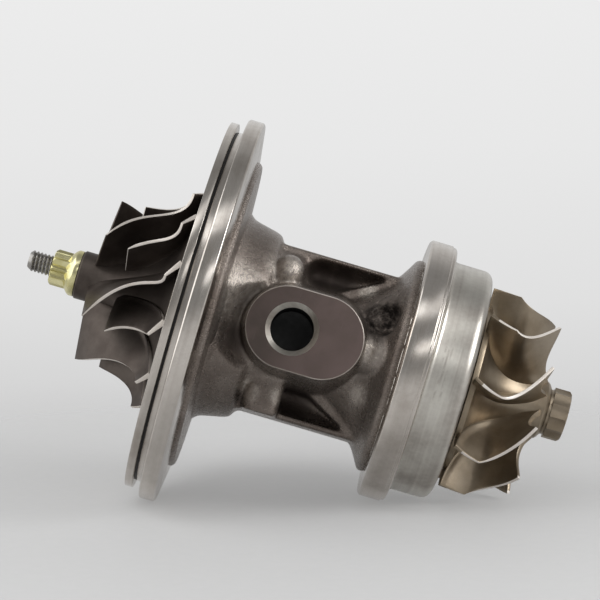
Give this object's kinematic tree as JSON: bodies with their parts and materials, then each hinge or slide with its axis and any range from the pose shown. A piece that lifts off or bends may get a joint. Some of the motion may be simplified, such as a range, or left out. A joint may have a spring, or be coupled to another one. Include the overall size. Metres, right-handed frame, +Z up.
{
  "type": "turbocharger cartridge",
  "caption": "Turbocharger centre cartridge: cast bearing housing with oil ports and machined clamp rims, carrying a bladed compressor wheel and turbine wheel on one spinning shaft.",
  "frame": {"origin": "on the rotor axis, in the front face of the compressor backplate", "axes": "+X along the rotor from compressor to turbine, -Y out of the oil feed port, +Z up"},
  "size_m": [0.1915, 0.1348, 0.1348],
  "materials": {
    "cast_iron": "rough cast, machined faces",
    "machined_steel": "turned",
    "stainless": "drawn, satin",
    "shaft_steel": "ground",
    "spring_steel": "dark satin",
    "bronze": "turned",
    "wheel_aluminium": "cast, dark with bright milled edges",
    "wheel_alloy": "cast nickel alloy, brown tint",
    "zinc_yellow": "yellow zinc",
    "black_rubber": "matte"
  },
  "bodies": {
    "housing": {"bearing_housing": "cast_iron", "compressor_backplate": "machined_steel", "backplate_seal_ring": "black_rubber", "backplate_screws": "spring_steel", "housing_o_ring": "black_rubber", "thrust_bearing": "bronze", "thrust_bearing_screws": "spring_steel", "oil_deflector": "stainless", "bush_circlips": "spring_steel", "heat_shield": "stainless", "compressor_piston_ring": "spring_steel", "turbine_piston_ring": "spring_steel"},
    "rotor": {"rotor_shaft": "shaft_steel", "turbine_wheel": "wheel_alloy", "thrust_collar": "shaft_steel", "sealing_collar": "shaft_steel", "compressor_wheel": "wheel_aluminium", "lock_nut": "zinc_yellow"},
    "bush_at_compressor": {"compressor_bush": "bronze"},
    "bush_at_turbine": {"turbine_bush": "bronze"}
  },
  "joints": [
    {"name": "rotor_spin", "type": "hinge", "parent": "housing", "child": "rotor", "pos_m": [0, 0, 0], "axis": [1, 0, 0], "continuous": true},
    {"name": "compressor_bush_spin", "type": "hinge", "parent": "housing", "child": "bush_at_compressor", "pos_m": [0.03285, 0, 0], "axis": [1, 0, 0], "continuous": true},
    {"name": "turbine_bush_spin", "type": "hinge", "parent": "housing", "child": "bush_at_turbine", "pos_m": [0.0722, 0, 0], "axis": [1, 0, 0], "continuous": true}
  ]
}
